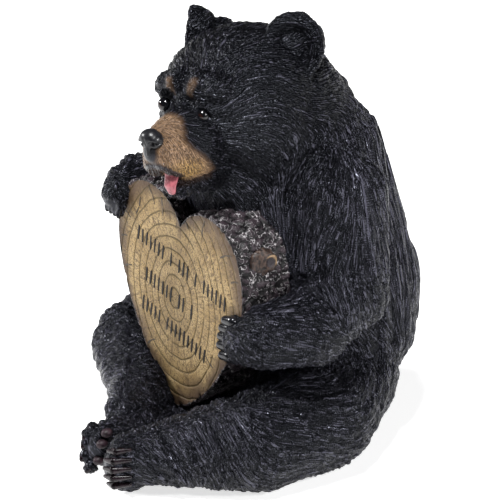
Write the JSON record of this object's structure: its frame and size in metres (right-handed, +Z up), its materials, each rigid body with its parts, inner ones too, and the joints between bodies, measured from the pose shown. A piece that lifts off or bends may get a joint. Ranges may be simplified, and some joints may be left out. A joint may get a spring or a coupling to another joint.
{
  "type": "bear statue",
  "caption": "Seated black bear figurine hugging a heart-shaped slice of log, cast in one piece of painted resin, for a shelf, porch or garden.",
  "frame": {"origin": "on the flat underside, on the bear's middle plane, below its belly", "axes": "+Z up, the bear faces -Y, its left side is +X"},
  "size_m": [0.1644, 0.1841, 0.2171],
  "materials": {
    "black_fur": "cast resin painted satin-gloss black, cool grey on the crests of the fur",
    "log_face": "cast resin painted tan with olive-brown growth rings, cracks and black strokes, matt",
    "bark": "cast resin painted dark purplish brown with pale dry-brushed ridges, satin",
    "gloss_details": "nose, eyes, claws and tongue in gloss paint"
  },
  "bodies": {
    "root": {"bear_statue": "black_fur"}
  },
  "joints": []
}
